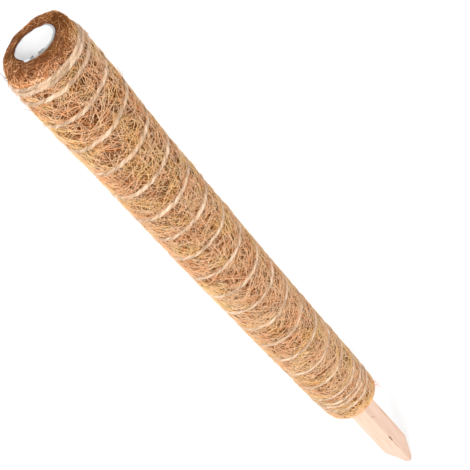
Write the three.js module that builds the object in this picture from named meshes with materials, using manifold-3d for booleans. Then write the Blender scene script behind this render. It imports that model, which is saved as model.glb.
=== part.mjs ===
// A coir plant pole: a square wooden stake is nailed into a plastic tube, a mat of coconut
// fibre is wrapped round the tube, and one length of twine is wound over the mat to hold it.
// Millimetres, +Z up along the pole. The origin is the centre of the sleeve's lower end,
// which is where the soil comes up to once the stake is pushed in.

import * as THREE from "three";
import { mergeVertices } from "three/addons/utils/BufferGeometryUtils.js";
import Module from "manifold-3d";

const wasm = await Module();
wasm.setup();

// Driving dimensions of the stake
const STAKE_SIDE = 12.7;
const STAKE_BELOW_SLEEVE = 95;
const STAKE_IN_TUBE = 85;
const STAKE_ARRIS = 0.4; // how far the sharp corners of the sawn square are broken
const POINT_LENGTH = 22;
const POINT_FLAT = 2.2; // side of the small flat that blunts the point

// Driving dimensions of the tube and the mat
const SLEEVE_LENGTH = 305;
const STAKE_CLEARANCE = 0.4; // from the stake's corners to the bore
const TUBE_WALL = 1.4;
const MAT_CLEARANCE = 0.3; // from the tube to the mat
const MAT_THICKNESS = 6.3; // where the twine pinches the mat
const MAT_SWELL = 0.9; // how much further the mat stands out half way between open turns
const MAT_SHOULDER = 0.45; // how much further it stands out beside its rounded ends
const MAT_END_ROUND = 3.5;
const SEAM_GAP = 0.6; // between the mat's two long edges, which meet in one seam
const SEAM_ANGLE = THREE.MathUtils.degToRad(135);

// Driving dimensions of the winding
const TWINE_DIAMETER = 1.6;
const TWINE_CLEARANCE = 0.3; // from the pinched mat to the twine
const TWINE_LOOPS = 22;
const TOP_TURN_INSET = 1.4; // from the mat's top rounding down to the first turn
const BOTTOM_TURN_INSET = 8.1; // from the mat's bottom rounding up to the last turn
const TOP_TURN_GAP = 0.6; // between the close turns at the top
const TOP_CLOSE_LOOPS = 0.8;
const TOP_EASE_LOOPS = 3.7; // loops over which the pitch opens out
const BOTTOM_TURN_GAP = 2.4;
const BOTTOM_CLOSE_LOOPS = 2.5;
const BOTTOM_EASE_LOOPS = 1.5;
const TAIL_BEND = 3.2; // radius of the bend where each end of the twine is tucked into the seam
const TAIL_COVER = 2.2; // mat left between a tucked end and the tube
const POCKET_TURN = THREE.MathUtils.degToRad(65); // part of that bend that its pocket follows

// Driving dimensions of the nails that hold the stake in the tube
const NAIL_DIAMETER = 1.6;
const NAIL_BITE = 5.5; // depth in the stake
const NAIL_POINT = 2;
const NAIL_HEAD_DIAMETER = 3.4;
const NAIL_HEAD_THICKNESS = 0.6;
const NAIL_CLEARANCE = 0.3;
const NAIL_FROM_END = 25; // from the tube's lower end, and from the stake's inner end

// Fineness of the round forms
const TUBE_FACETS = 32;
const NAIL_FACETS = 12;
const LOOP_STEPS = 24; // steps in one loop of twine, and facets round the mat
const TWINE_SIDES = 6;
const POCKET_SIDES = 8;
const SWELL_STEPS = 4; // steps from one turn to the next across the mat
const ROUND_STEPS = 3;
const BEND_STEPS = 6;
const SHORTEST_STEP = 0.25; // least part of a loop's step that may follow a bend
const MERGE_DISTANCE = 1e-4;

// Sizes that follow, from the stake outwards
const stakeHalf = STAKE_SIDE / 2;
const stakeLength = STAKE_BELOW_SLEEVE + STAKE_IN_TUBE;
const stakeCorner = Math.hypot(stakeHalf, stakeHalf - STAKE_ARRIS);
const boreRadius = (stakeCorner + STAKE_CLEARANCE) / Math.cos(Math.PI / TUBE_FACETS);
const tubeRadius = boreRadius + TUBE_WALL;
const matInner = (tubeRadius + MAT_CLEARANCE) / Math.cos(Math.PI / LOOP_STEPS);
const matSeat = matInner + MAT_THICKNESS;
const twineRadius = TWINE_DIAMETER / 2;
const windingRadius = matSeat + TWINE_CLEARANCE + twineRadius;

// Pitch of the winding: the close loops at both ends are given, and the open ones share the rest
const topPitch = TWINE_DIAMETER + TOP_TURN_GAP;
const bottomPitch = TWINE_DIAMETER + BOTTOM_TURN_GAP;
const firstTurn = SLEEVE_LENGTH - MAT_END_ROUND - TOP_TURN_INSET;
const lastTurn = MAT_END_ROUND + BOTTOM_TURN_INSET;
const topShare = closeLoops(TWINE_LOOPS, TOP_CLOSE_LOOPS, TOP_EASE_LOOPS);
const bottomShare = closeLoops(TWINE_LOOPS, BOTTOM_CLOSE_LOOPS, BOTTOM_EASE_LOOPS);
const openLength = firstTurn - lastTurn - topPitch * topShare - bottomPitch * bottomShare;
const openPitch = openLength / (TWINE_LOOPS - topShare - bottomShare);

// Where the twine's ends are tucked in
const tailDepth = windingRadius - matInner - TAIL_COVER;
const tailBend = Math.min(TAIL_BEND, tailDepth - TWINE_DIAMETER);

// Where the nails sit
const nailSeat = tubeRadius + NAIL_CLEARANCE;
const nailLength = nailSeat - stakeHalf + NAIL_BITE;
const nailHole = NAIL_DIAMETER / 2 + NAIL_CLEARANCE;

// How many of the first loops count as close ones: all of the close loops, then a part of each
// loop that falls smoothly from one to nothing over the easing loops.
function closeLoops(loops, close, ease) {
  const eased = THREE.MathUtils.clamp((loops - close) / ease, 0, 1);
  return Math.min(loops, close) + ease * (eased - eased ** 3 + eased ** 4 / 2);
}

// Height of the twine after a count of loops from its top end
function turnHeight(loops) {
  const top = closeLoops(loops, TOP_CLOSE_LOOPS, TOP_EASE_LOOPS);
  const left = closeLoops(TWINE_LOOPS - loops, BOTTOM_CLOSE_LOOPS, BOTTOM_EASE_LOOPS);
  const bottom = bottomShare - left;
  return firstTurn - topPitch * top - bottomPitch * bottom - openPitch * (loops - top - bottom);
}

// A point at a radius and height, a count of loops down the right-handed winding from the seam
function onPole(radius, loops, height) {
  const angle = SEAM_ANGLE - 2 * Math.PI * loops;
  return new THREE.Vector3(radius * Math.cos(angle), radius * Math.sin(angle), height);
}

// A closed solid through a row of sections, each a ring of as many points, which run
// anticlockwise about the way the row goes. A flat outline of the same ring closes each end.
function loft(sections, firstOutline, lastOutline) {
  const ring = sections[0].length;
  const last = ring * (sections.length - 1);
  const indices = [];
  for (let start = 0; start < last; start += ring) {
    for (let side = 0; side < ring; side++) {
      const here = start + side;
      const beside = start + ((side + 1) % ring);
      indices.push(here, beside, here + ring, beside, beside + ring, here + ring);
    }
  }
  for (const [a, b, c] of THREE.ShapeUtils.triangulateShape(firstOutline, [])) {
    indices.push(a, c, b);
  }
  for (const face of THREE.ShapeUtils.triangulateShape(lastOutline, [])) {
    indices.push(...face.map((corner) => last + corner));
  }
  return new THREE.BufferGeometry().setFromPoints(sections.flat()).setIndex(indices);
}

// A round tube of a number of sides along a path that never runs straight up or down
function tubeAlong(path, radius, sides) {
  const up = new THREE.Vector3(0, 0, 1);
  const outline = [];
  for (let side = 0; side < sides; side++) {
    const angle = (2 * Math.PI * side) / sides;
    outline.push(new THREE.Vector2(radius * Math.cos(angle), radius * Math.sin(angle)));
  }
  const sections = path.map((point, i) => {
    const before = path[Math.max(i - 1, 0)];
    const after = path[Math.min(i + 1, path.length - 1)];
    const along = after.clone().sub(before).normalize();
    const rise = up.clone().projectOnPlane(along).normalize();
    const across = along.clone().cross(rise);
    return outline.map(({ x, y }) => point.clone().addScaledVector(rise, x).addScaledVector(across, y));
  });
  return loft(sections, outline, outline);
}

// Solids for cutting and joining, and back
function toSolid(geometry) {
  const bare = geometry.clone();
  bare.deleteAttribute("normal");
  bare.deleteAttribute("uv");
  const merged = mergeVertices(bare, MERGE_DISTANCE);
  const vertProperties = merged.getAttribute("position").array;
  const triVerts = new Uint32Array(merged.index.array);
  return new wasm.Manifold(new wasm.Mesh({ numProp: 3, vertProperties, triVerts }));
}

function toGeometry(solid) {
  const { vertProperties, triVerts } = solid.getMesh();
  return new THREE.BufferGeometry()
    .setAttribute("position", new THREE.BufferAttribute(vertProperties, 3))
    .setIndex(new THREE.BufferAttribute(triVerts, 1));
}

function piece(name, geometry, colour, roughness, metalness = 0) {
  geometry.computeVertexNormals();
  const material = new THREE.MeshStandardMaterial({ color: colour, roughness, metalness });
  const mesh = new THREE.Mesh(geometry, material);
  mesh.name = name;
  return mesh;
}

// The nails: one from each side, staggered along the stake
const nails = [
  { name: "stake_nail_lower", side: 1, height: NAIL_FROM_END },
  { name: "stake_nail_upper", side: -1, height: STAKE_IN_TUBE - NAIL_FROM_END },
];

// A round cutter lying along X from one distance to another, on one nail's side and height
function nailCutter({ side, height }, radius, from, to) {
  const cutter = new THREE.CylinderGeometry(radius, radius, to - from, NAIL_FACETS);
  cutter.rotateZ(Math.PI / 2);
  cutter.translate((side * (from + to)) / 2, 0, height);
  return toSolid(cutter);
}

function nailGeometry() {
  const shank = NAIL_DIAMETER / 2;
  const head = NAIL_HEAD_DIAMETER / 2;
  const profile = [
    new THREE.Vector2(0, -nailLength),
    new THREE.Vector2(shank, NAIL_POINT - nailLength),
    new THREE.Vector2(shank, 0),
    new THREE.Vector2(head, 0),
    new THREE.Vector2(head, NAIL_HEAD_THICKNESS),
    new THREE.Vector2(0, NAIL_HEAD_THICKNESS),
  ];
  return new THREE.LatheGeometry(profile, NAIL_FACETS);
}

// The stake: one pointed outline sawn through from two sides, with its long corners broken and
// a hole for each nail
function stakeGeometry() {
  const outline = new THREE.Shape([
    new THREE.Vector2(-stakeHalf, STAKE_IN_TUBE),
    new THREE.Vector2(-stakeHalf, POINT_LENGTH - STAKE_BELOW_SLEEVE),
    new THREE.Vector2(-POINT_FLAT / 2, -STAKE_BELOW_SLEEVE),
    new THREE.Vector2(POINT_FLAT / 2, -STAKE_BELOW_SLEEVE),
    new THREE.Vector2(stakeHalf, POINT_LENGTH - STAKE_BELOW_SLEEVE),
    new THREE.Vector2(stakeHalf, STAKE_IN_TUBE),
  ]);
  const blank = 2 * STAKE_SIDE;
  const sawn = new THREE.ExtrudeGeometry(outline, { depth: blank, bevelEnabled: false });
  sawn.translate(0, 0, -blank / 2).rotateX(Math.PI / 2);
  const turned = sawn.clone().rotateZ(Math.PI / 2);
  const reach = STAKE_SIDE - STAKE_ARRIS;
  const corners = new THREE.CylinderGeometry(reach, reach, 2 * stakeLength, 4);
  corners.rotateX(Math.PI / 2);
  let stake = toSolid(sawn).intersect(toSolid(turned)).intersect(toSolid(corners));
  for (const nail of nails) {
    const bottom = stakeHalf - NAIL_BITE - NAIL_CLEARANCE;
    stake = stake.subtract(nailCutter(nail, nailHole, bottom, STAKE_SIDE));
  }
  return toGeometry(stake);
}

// The tube: a plain length of pipe with a hole for each nail
function tubeGeometry() {
  const profile = [
    new THREE.Vector2(boreRadius, 0),
    new THREE.Vector2(tubeRadius, 0),
    new THREE.Vector2(tubeRadius, SLEEVE_LENGTH),
    new THREE.Vector2(boreRadius, SLEEVE_LENGTH),
    new THREE.Vector2(boreRadius, 0),
  ];
  const pipe = new THREE.LatheGeometry(profile, TUBE_FACETS).rotateX(Math.PI / 2);
  let tube = toSolid(pipe);
  for (const nail of nails) {
    tube = tube.subtract(nailCutter(nail, nailHole, stakeHalf, nailSeat + NAIL_HEAD_DIAMETER));
  }
  return toGeometry(tube);
}

// The way from a tucked end out to the winding, as depth below it and distance round it: straight
// out for a while, then round a quarter bend. The turn is how much of the bend is followed.
function tailWay(depth, turn) {
  const way = [{ depth, round: 0 }];
  for (let step = 0; step <= BEND_STEPS; step++) {
    const angle = (turn * step) / BEND_STEPS;
    way.push({ depth: tailBend * (1 - Math.sin(angle)), round: tailBend * (1 - Math.cos(angle)) });
  }
  return way;
}

// That way as points on the pole, at the top end or the bottom end of the winding
function tailPoints(way, end) {
  return way.map(({ depth, round }) => {
    const loops = round / (2 * Math.PI * windingRadius);
    const along = end === "top" ? loops : TWINE_LOOPS - loops;
    return onPole(windingRadius - depth, along, turnHeight(along));
  });
}

// The twine's middle line: a tucked end, the loops and the other tucked end
function twinePath() {
  const tail = tailWay(tailDepth, Math.PI / 2);
  const bendLoops = tailBend / (2 * Math.PI * windingRadius);
  const firstStep = Math.ceil(bendLoops * LOOP_STEPS + SHORTEST_STEP);
  const path = tailPoints(tail, "top");
  for (let step = firstStep; step <= TWINE_LOOPS * LOOP_STEPS - firstStep; step++) {
    const loops = step / LOOP_STEPS;
    path.push(onPole(windingRadius, loops, turnHeight(loops)));
  }
  path.push(...tailPoints(tail, "bottom").reverse());
  return path;
}

// The least gap between two stretches of the twine that lie over half a loop apart
function leastGap(path) {
  let least = Infinity;
  for (let i = 0; i < path.length; i++) {
    for (let j = i + LOOP_STEPS / 2; j < path.length; j++) {
      least = Math.min(least, path[i].distanceTo(path[j]));
    }
  }
  return least - TWINE_DIAMETER;
}

// The mat's section on one radius, a share of a loop round from the seam: radius and height
// down the inner wall, then up the outer side over each turn of twine and the swell above it.
function matOutline(share) {
  const shoulder = matSeat + MAT_SHOULDER;
  const outline = [new THREE.Vector2(matInner, SLEEVE_LENGTH), new THREE.Vector2(matInner, 0)];
  const rounding = [];
  for (let step = 0; step <= ROUND_STEPS; step++) {
    const angle = (Math.PI * step) / (2 * ROUND_STEPS);
    const radius = shoulder - MAT_END_ROUND * (1 - Math.sin(angle));
    rounding.push(new THREE.Vector2(radius, MAT_END_ROUND * (1 - Math.cos(angle))));
  }
  outline.push(...rounding);
  for (let turn = TWINE_LOOPS - 1; turn >= 0; turn--) {
    const height = turnHeight(turn + share);
    outline.push(new THREE.Vector2(matSeat, height));
    if (turn === 0) break;
    const rise = turnHeight(turn - 1 + share) - height;
    for (let step = 1; step < SWELL_STEPS; step++) {
      const part = step / SWELL_STEPS;
      const swell = MAT_SWELL * (rise / openPitch) * Math.sin(Math.PI * part);
      outline.push(new THREE.Vector2(matSeat + swell, height + rise * part));
    }
  }
  outline.push(...rounding.reverse().map(({ x, y }) => new THREE.Vector2(x, SLEEVE_LENGTH - y)));
  return outline;
}

// The mat: its section carried once round the tube from one edge of the seam to the other, then
// a pocket for each tucked end of the twine and for each nail head
function matGeometry() {
  const edge = SEAM_GAP / 2 / (2 * Math.PI * matSeat);
  const shares = [edge];
  for (let step = 1; step < LOOP_STEPS; step++) shares.push(step / LOOP_STEPS);
  shares.push(1 - edge);
  const outlines = shares.map(matOutline);
  const sections = outlines.map((outline, i) => outline.map(({ x, y }) => onPole(x, shares[i], y)));
  let mat = toSolid(loft(sections, outlines[0], outlines.at(-1)));

  const pocketRadius = (twineRadius + TWINE_CLEARANCE) / Math.cos(Math.PI / POCKET_SIDES);
  const runOut = MAT_SWELL + 2 * pocketRadius;
  const way = tailWay(tailDepth + TWINE_CLEARANCE, POCKET_TURN);
  const brim = way.at(-1);
  way.push({
    depth: brim.depth - runOut,
    round: brim.round + runOut * Math.tan(POCKET_TURN),
  });
  for (const end of ["top", "bottom"]) {
    const points = tailPoints(way, end);
    mat = mat.subtract(toSolid(tubeAlong(points, pocketRadius, POCKET_SIDES)));
  }
  const headRoom = NAIL_HEAD_DIAMETER / 2 + NAIL_CLEARANCE;
  const headTop = nailSeat + NAIL_HEAD_THICKNESS + NAIL_CLEARANCE;
  for (const nail of nails) mat = mat.subtract(nailCutter(nail, headRoom, stakeHalf, headTop));
  return toGeometry(mat);
}

const pole = new THREE.Group();
pole.name = "coir_pole";

pole.add(piece("wooden_stake", stakeGeometry(), "#f3d9c1", 0.8));
pole.add(piece("core_tube", tubeGeometry(), "#f4f4f1", 0.45));
pole.add(piece("coir_mat", matGeometry(), "#b98655", 0.95));

const path = twinePath();
console.log(`winding_twine: least gap to itself ${leastGap(path).toFixed(2)} mm`);
pole.add(piece("winding_twine", tubeAlong(path, twineRadius, TWINE_SIDES), "#e8d6c0", 0.9));

for (const { name, side, height } of nails) {
  const nail = piece(name, nailGeometry(), "#a5a7a8", 0.4, 1);
  nail.rotation.z = (-side * Math.PI) / 2;
  nail.position.set(side * nailSeat, 0, height);
  pole.add(nail);
}

export default pole;
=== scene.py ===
"""A coir plant pole: a sleeve of coconut fibre, bound with twine round a white tube, on a pale stake.

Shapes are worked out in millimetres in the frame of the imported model, with +Z up along the pole and the
origin in the middle of the sleeve's lower end. put_mesh turns them into metres. Each random draw comes
from a seeded generator, so every run gives the same pole."""

import math

import bpy
import numpy as np
from mathutils import Matrix, Vector


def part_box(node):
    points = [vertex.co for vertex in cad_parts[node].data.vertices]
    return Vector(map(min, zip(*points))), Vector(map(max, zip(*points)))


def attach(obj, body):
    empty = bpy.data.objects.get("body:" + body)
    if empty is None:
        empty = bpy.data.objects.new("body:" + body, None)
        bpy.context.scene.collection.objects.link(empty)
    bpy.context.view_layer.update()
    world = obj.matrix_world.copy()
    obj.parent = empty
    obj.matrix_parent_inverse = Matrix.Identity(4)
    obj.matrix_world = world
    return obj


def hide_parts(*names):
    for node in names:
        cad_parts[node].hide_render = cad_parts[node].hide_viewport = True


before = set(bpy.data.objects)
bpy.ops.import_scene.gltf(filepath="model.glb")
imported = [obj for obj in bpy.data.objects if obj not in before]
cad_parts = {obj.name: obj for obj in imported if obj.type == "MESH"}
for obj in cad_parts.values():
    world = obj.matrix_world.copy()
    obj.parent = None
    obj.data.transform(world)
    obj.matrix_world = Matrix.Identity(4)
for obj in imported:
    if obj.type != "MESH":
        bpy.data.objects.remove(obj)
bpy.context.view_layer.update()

MM = 0.001
FULL_TURN = 2 * math.pi


def node_box(node):
    """Lowest and highest corner of a CAD node, in millimetres."""
    low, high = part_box(node)
    return np.array(low) / MM, np.array(high) / MM


# Sizes read from the frame
STAKE_LOW, STAKE_HIGH = node_box("wooden_stake")
MAT_LOW, MAT_HIGH = node_box("coir_mat")
STAKE_HALF = STAKE_HIGH[0]
TUBE_RADIUS = node_box("core_tube")[1][0]
SLEEVE_LENGTH = MAT_HIGH[2] - MAT_LOW[2]

# Sizes of the tube, the mat and the winding, close to those in the part's source
TUBE_WALL = 1.4
MAT_CLEARANCE = 0.3
MAT_INNER = TUBE_RADIUS + MAT_CLEARANCE
MAT_THICKNESS = 6.4
MAT_SEAT = MAT_INNER + MAT_THICKNESS
MAT_SWELL = 0.9
MAT_SHOULDER = 0.45
MAT_END_ROUND = 3.5
SEAM_ANGLE = math.radians(135)
TWINE_LOOPS = 22
TOP_TURN_INSET = 1.4
FIRST_TURN = SLEEVE_LENGTH - MAT_END_ROUND - TOP_TURN_INSET
BOTTOM_TURN_INSET = 8.1
LAST_TURN = MAT_END_ROUND + BOTTOM_TURN_INSET
TOP_PITCH = 2.2
TOP_CLOSE_LOOPS = 0.8
TOP_EASE_LOOPS = 3.7
BOTTOM_PITCH = 4.0
BOTTOM_CLOSE_LOOPS = 2.5
BOTTOM_EASE_LOOPS = 1.5
TWINE_LIFT = 1.0
WINDING_RADIUS = MAT_SEAT + TWINE_LIFT
TAIL_BEND = 3.2
TAIL_DEPTH = 5.2


# Meshes
def grid_faces(rows, columns, close_rows, close_columns):
    """Quads of a grid of points, numbered row by row, and their corners' places in a unit square.

    The quad of row i and column j joins (i, j), (i, j + 1), (i + 1, j + 1) and (i + 1, j). A closed
    direction wraps round to its first row or column, and its last corner's place still goes up to 1."""
    row_count = rows if close_rows else rows - 1
    column_count = columns if close_columns else columns - 1
    i, j = np.meshgrid(np.arange(row_count), np.arange(column_count), indexing="ij")
    row = np.stack([i, i, i + 1, i + 1], axis=-1)
    column = np.stack([j, j + 1, j + 1, j], axis=-1)
    quads = (row % rows) * columns + column % columns
    places = np.stack([column / column_count, row / row_count], axis=-1)
    return quads.reshape(-1, 4), places.reshape(-1, 4, 2)


def put_mesh(name, points, faces, places, tones=None):
    """A smooth mesh object at the origin. points are in millimetres, faces is a list of arrays of point
    numbers, places the list of their corners' texture places, and tones one number for each point."""
    corners = np.concatenate([rows.ravel() for rows in faces]).astype(np.int32)
    sizes = np.concatenate([np.full(len(rows), rows.shape[1]) for rows in faces])
    starts = np.concatenate(([0], np.cumsum(sizes)[:-1])).astype(np.int32)
    corner_places = np.concatenate([rows.reshape(-1, 2) for rows in places])
    mesh = bpy.data.meshes.new(name)
    mesh.vertices.add(len(points))
    mesh.vertices.foreach_set("co", (points * MM).astype(np.float32).ravel())
    mesh.loops.add(len(corners))
    mesh.loops.foreach_set("vertex_index", corners)
    mesh.polygons.add(len(starts))
    mesh.polygons.foreach_set("loop_start", starts)
    mesh.update(calc_edges=True)
    uv_map = mesh.uv_layers.new(name="OFBake")
    uv_map.data.foreach_set("uv", corner_places.astype(np.float32).ravel())
    if tones is not None:
        attribute = mesh.attributes.new("tone", "FLOAT", "POINT")
        attribute.data.foreach_set("value", tones.astype(np.float32))
    mesh.shade_smooth()
    piece = bpy.data.objects.new(name, mesh)
    bpy.context.scene.collection.objects.link(piece)
    return piece


BOW = 0.9
BOW_LENGTH = 500
BOW_ANGLE = math.radians(45)


def put_piece(name, points, faces, places, tones=None):
    """A mesh of the pole, which is not quite straight: each height moves sideways by a cosine of its
    distance from the sleeve's middle."""
    shift = -BOW * np.cos(FULL_TURN * (points[:, 2] - SLEEVE_LENGTH / 2) / BOW_LENGTH)
    sideways = np.array([math.cos(BOW_ANGLE), math.sin(BOW_ANGLE), 0])
    return put_mesh(name, points + shift[:, None] * sideways, faces, places, tones)


def unit(vectors):
    """The same vectors, one unit long."""
    return vectors / np.linalg.norm(vectors, axis=-1, keepdims=True)


def on_pole(radius, angle, height):
    """Points at a distance and an angle round the pole's axis, and at a height."""
    return np.stack(np.broadcast_arrays(radius * np.cos(angle), radius * np.sin(angle), height), axis=-1)


CELL_INSET = 0.08
CAP_SLOPE = 0.05


def strands(paths, outward, radii, sides):
    """Points, faces and places of many thin closed tubes, one along each path.

    paths is strands x steps x 3. At each step the tangent is the difference of the neighbours, one ring
    axis is the tangent crossed with the outward direction, the other is square to both, and the ring's
    points lie at equal angles. Each tube's texture has a cell of its own in a square table of cells, and
    its two caps share a thin strip at the foot of that cell."""
    count, steps, _ = paths.shape
    tangent = unit(np.gradient(paths, axis=1))
    across = unit(np.cross(tangent, outward))
    raised = np.cross(across, tangent)
    turn = np.arange(sides) * FULL_TURN / sides
    ring = np.cos(turn)[:, None] * raised[:, :, None] + np.sin(turn)[:, None] * across[:, :, None]
    points = paths[:, :, None] + radii[:, :, None, None] * ring
    quads, places = grid_faces(steps, sides, False, True)
    first = np.arange(count)[:, None, None] * steps * sides
    caps = np.stack([np.arange(sides)[::-1], np.arange(sides) + (steps - 1) * sides])
    cap_turn = np.arange(sides) / sides
    cap_places = np.stack([np.stack([cap_turn, CAP_SLOPE * cap_turn], axis=-1)] * 2)
    per_side = math.ceil(math.sqrt(count))
    cell = np.stack([np.arange(count) % per_side, np.arange(count) // per_side], axis=-1)[:, None, None]
    faces = [(first + quads).reshape(-1, 4), (first + caps).reshape(-1, sides)]
    uv = [(cell + CELL_INSET + (1 - 2 * CELL_INSET) * p) / per_side for p in (places, cap_places)]
    return points.reshape(-1, 3), faces, uv


def smooth_step(x):
    """0 below 0, 1 above 1, and a smooth climb between."""
    x = np.clip(x, 0, 1)
    return x * x * (3 - 2 * x)


def bell(distance, spread):
    """1 at no distance, falling off on both sides as a bell."""
    return np.exp(-((distance / spread) ** 2))


def turn_between(angle, other):
    """The turn from another angle to an angle, from half a turn back to half a turn on."""
    return (angle - other + math.pi) % FULL_TURN - math.pi


def ripple(first, second, seed, waves, shortest, longest):
    """Unevenness from -1 to 1 or so: many sine waves of random length, phase and heading over two
    directions in millimetres, added up and divided by the root of their count."""
    rng = np.random.default_rng(seed)
    heading = rng.uniform(0, FULL_TURN, waves)
    number = FULL_TURN / rng.uniform(shortest, longest, waves)
    phase = rng.uniform(0, FULL_TURN, waves)
    total = np.zeros(np.broadcast(first, second).shape)
    for h, k, p in zip(heading, number, phase):
        total += np.sin(k * (math.cos(h) * first + math.sin(h) * second) + p)
    return total / math.sqrt(waves)


# The winding
def close_loops(loops, close, ease):
    """How many of the first loops count as close ones: all of the close loops, then a part of each loop
    that falls smoothly from one to nothing over the easing loops."""
    eased = np.clip((loops - close) / ease, 0, 1)
    return np.minimum(loops, close) + ease * (eased - eased**3 + eased**4 / 2)


TOP_SHARE = close_loops(TWINE_LOOPS, TOP_CLOSE_LOOPS, TOP_EASE_LOOPS)
BOTTOM_SHARE = close_loops(TWINE_LOOPS, BOTTOM_CLOSE_LOOPS, BOTTOM_EASE_LOOPS)
OPEN_LENGTH = FIRST_TURN - LAST_TURN - TOP_PITCH * TOP_SHARE - BOTTOM_PITCH * BOTTOM_SHARE
OPEN_PITCH = OPEN_LENGTH / (TWINE_LOOPS - TOP_SHARE - BOTTOM_SHARE)

# Each place where a turn slipped as it was wound: its loop, over how many loops, and how far up it went
WINDING_SLIPS = (
    (0.4, 0.6, -0.5),
    (1.4, 0.6, -0.9),
    (2.2, 0.25, 1.5),
    (2.75, 0.2, 1.0),
    (3.5, 0.6, -0.4),
    (5.5, 0.6, 0.5),
    (5.5, 2.3, -0.9),
    (7.5, 0.6, -0.7),
    (9.5, 0.6, 0.5),
    (11.5, 0.6, -0.6),
    (15.0, 0.6, -0.7),
    (20.0, 1.0, 0.8),
)
# Where the turns begin to lie low: from which loop, over how many loops, and by how much
WINDING_SAGS = ((6, 2, 0.35), (20.8, 0.6, 1.5))
TOUCHING_LOOPS = 2
TOUCH = 0.55


def turn_height(loops):
    """Height of the twine after a count of loops from its top end: close pitch at both ends, open pitch
    between them. It was wound by hand, so a sine wave brings the first turns together at the front, each
    slip adds a bell, and each sag takes away a smooth step."""
    top = close_loops(loops, TOP_CLOSE_LOOPS, TOP_EASE_LOOPS)
    bottom = BOTTOM_SHARE - close_loops(TWINE_LOOPS - loops, BOTTOM_CLOSE_LOOPS, BOTTOM_EASE_LOOPS)
    even = FIRST_TURN - TOP_PITCH * top - BOTTOM_PITCH * bottom - OPEN_PITCH * (loops - top - bottom)
    touch = np.where((loops > 0) & (loops < TOUCHING_LOOPS), TOUCH * np.sin(math.pi * loops), 0)
    slips = sum(rise * bell(loops - place, spread) for place, spread, rise in WINDING_SLIPS)
    sags = sum(drop * smooth_step((loops - start) / reach) for start, reach, drop in WINDING_SAGS)
    return even - touch + slips - sags


SPARE_LOOPS = 5
LOOP_TABLE_ROWS = 6001
LOOP_TABLE = np.linspace(TWINE_LOOPS + SPARE_LOOPS, -SPARE_LOOPS, LOOP_TABLE_ROWS)
HEIGHT_TABLE = turn_height(LOOP_TABLE)


def loops_at(height):
    """The count of loops at which the winding passes a height."""
    return np.interp(height, HEIGHT_TABLE, LOOP_TABLE)


# The sleeve's surface, whose foot is rounded less than its top end
END_FACE = MAT_SEAT - MAT_END_ROUND - MAT_INNER
END_BEND = math.pi / 2 * MAT_END_ROUND
FOOT_ROUND = 2.3
FOOT_FACE = MAT_SEAT - FOOT_ROUND - MAT_INNER
FOOT_BEND = math.pi / 2 * FOOT_ROUND
SIDE_LENGTH = SLEEVE_LENGTH - MAT_END_ROUND - FOOT_ROUND
SIDE_START = END_FACE + END_BEND
SIDE_END = SIDE_START + SIDE_LENGTH
OUTLINE_LENGTH = SIDE_END + FOOT_BEND + FOOT_FACE

FLARE_BASE = -0.3
# Each change of the mat's radius along the pole: by how much, from which height, and over how much height
FLARE_STEPS = ((-0.3, 25, -20), (-0.2, 170, -60), (0.85, 235, 45), (-1.3, 294, 9))


def flare(height):
    """How much wider or narrower than its seat the mat is wound: full in its upper part, narrow in its
    lower half, and drawn in at both ends. Each change is a smooth step, up the pole or down it."""
    return FLARE_BASE + sum(by * smooth_step((height - start) / reach) for by, start, reach in FLARE_STEPS)


ABOVE_REACH = 1.5
BELOW_REACH = 5
SEAM_DEPTH = 1.1
SEAM_SPREAD = 0.9
# Each slow wave over the mat: its size, how many go round the pole, its turn for each millimetre up
# and its start
MAT_WAVES = ((0.16, 3, 0.21, 0), (0.12, 2, -0.37, 1.3))


def sleeve_swell(angle, height):
    """How far the mat stands out from its seat at an angle and height.

    Between two turns it follows half a sine wave, as high as the turns are apart. Beyond the first and
    the last turn it climbs to the shoulder. It dips along the seam, slow waves make it uneven, and the
    flare is added."""
    loops = loops_at(height)
    fraction = ((SEAM_ANGLE - angle) / FULL_TURN) % 1
    rise = turn_height(loops - 0.5) - turn_height(loops + 0.5)
    between = MAT_SWELL * np.clip(rise / OPEN_PITCH, 0, 1) * np.sin(math.pi * ((loops - fraction) % 1))
    above = MAT_SHOULDER * smooth_step((fraction - loops) * TOP_PITCH / ABOVE_REACH)
    below = MAT_SHOULDER * smooth_step((loops - fraction - TWINE_LOOPS + 1) * BOTTOM_PITCH / BELOW_REACH)
    swell = np.where(loops < fraction, above, np.where(loops > fraction + TWINE_LOOPS - 1, below, between))
    seam = SEAM_DEPTH * bell(MAT_SEAT * turn_between(angle, SEAM_ANGLE), SEAM_SPREAD)
    waves = sum(size * np.sin(turns * angle + up * height + start) for size, turns, up, start in MAT_WAVES)
    return swell - seam + waves + flare(height)


def outline(along):
    """The mat's half section at a distance along it, from the top face's inner edge, over the rounding,
    down the side and under to the bottom face's inner edge: radius, height, and how far the outward
    direction is level and upright."""
    top_bend = np.clip((along - END_FACE) / END_BEND, 0, 1)
    foot_bend = np.clip((along - SIDE_END) / FOOT_BEND, 0, 1)
    slope = math.pi / 2 * (top_bend + foot_bend)
    level = np.sin(slope)
    upright = np.cos(slope)
    on_faces = np.clip(END_FACE - along, 0, None) + np.clip(along - OUTLINE_LENGTH + FOOT_FACE, 0, None)
    radius = MAT_SEAT - np.where(along > SIDE_END, FOOT_ROUND, MAT_END_ROUND) * (1 - level) - on_faces
    height = SLEEVE_LENGTH - MAT_END_ROUND * (1 - np.clip(upright, 0, 1))
    height = height - np.clip(along - SIDE_START, 0, SIDE_LENGTH) + FOOT_ROUND * np.clip(upright, -1, 0)
    return radius, height, level, upright


RIM_BARE_ANGLE = math.radians(-3)
RIM_COVERED_SHARE = 0.6
RIM_CHANGE = 0.9
RIM_RAGGED = 0.15


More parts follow.
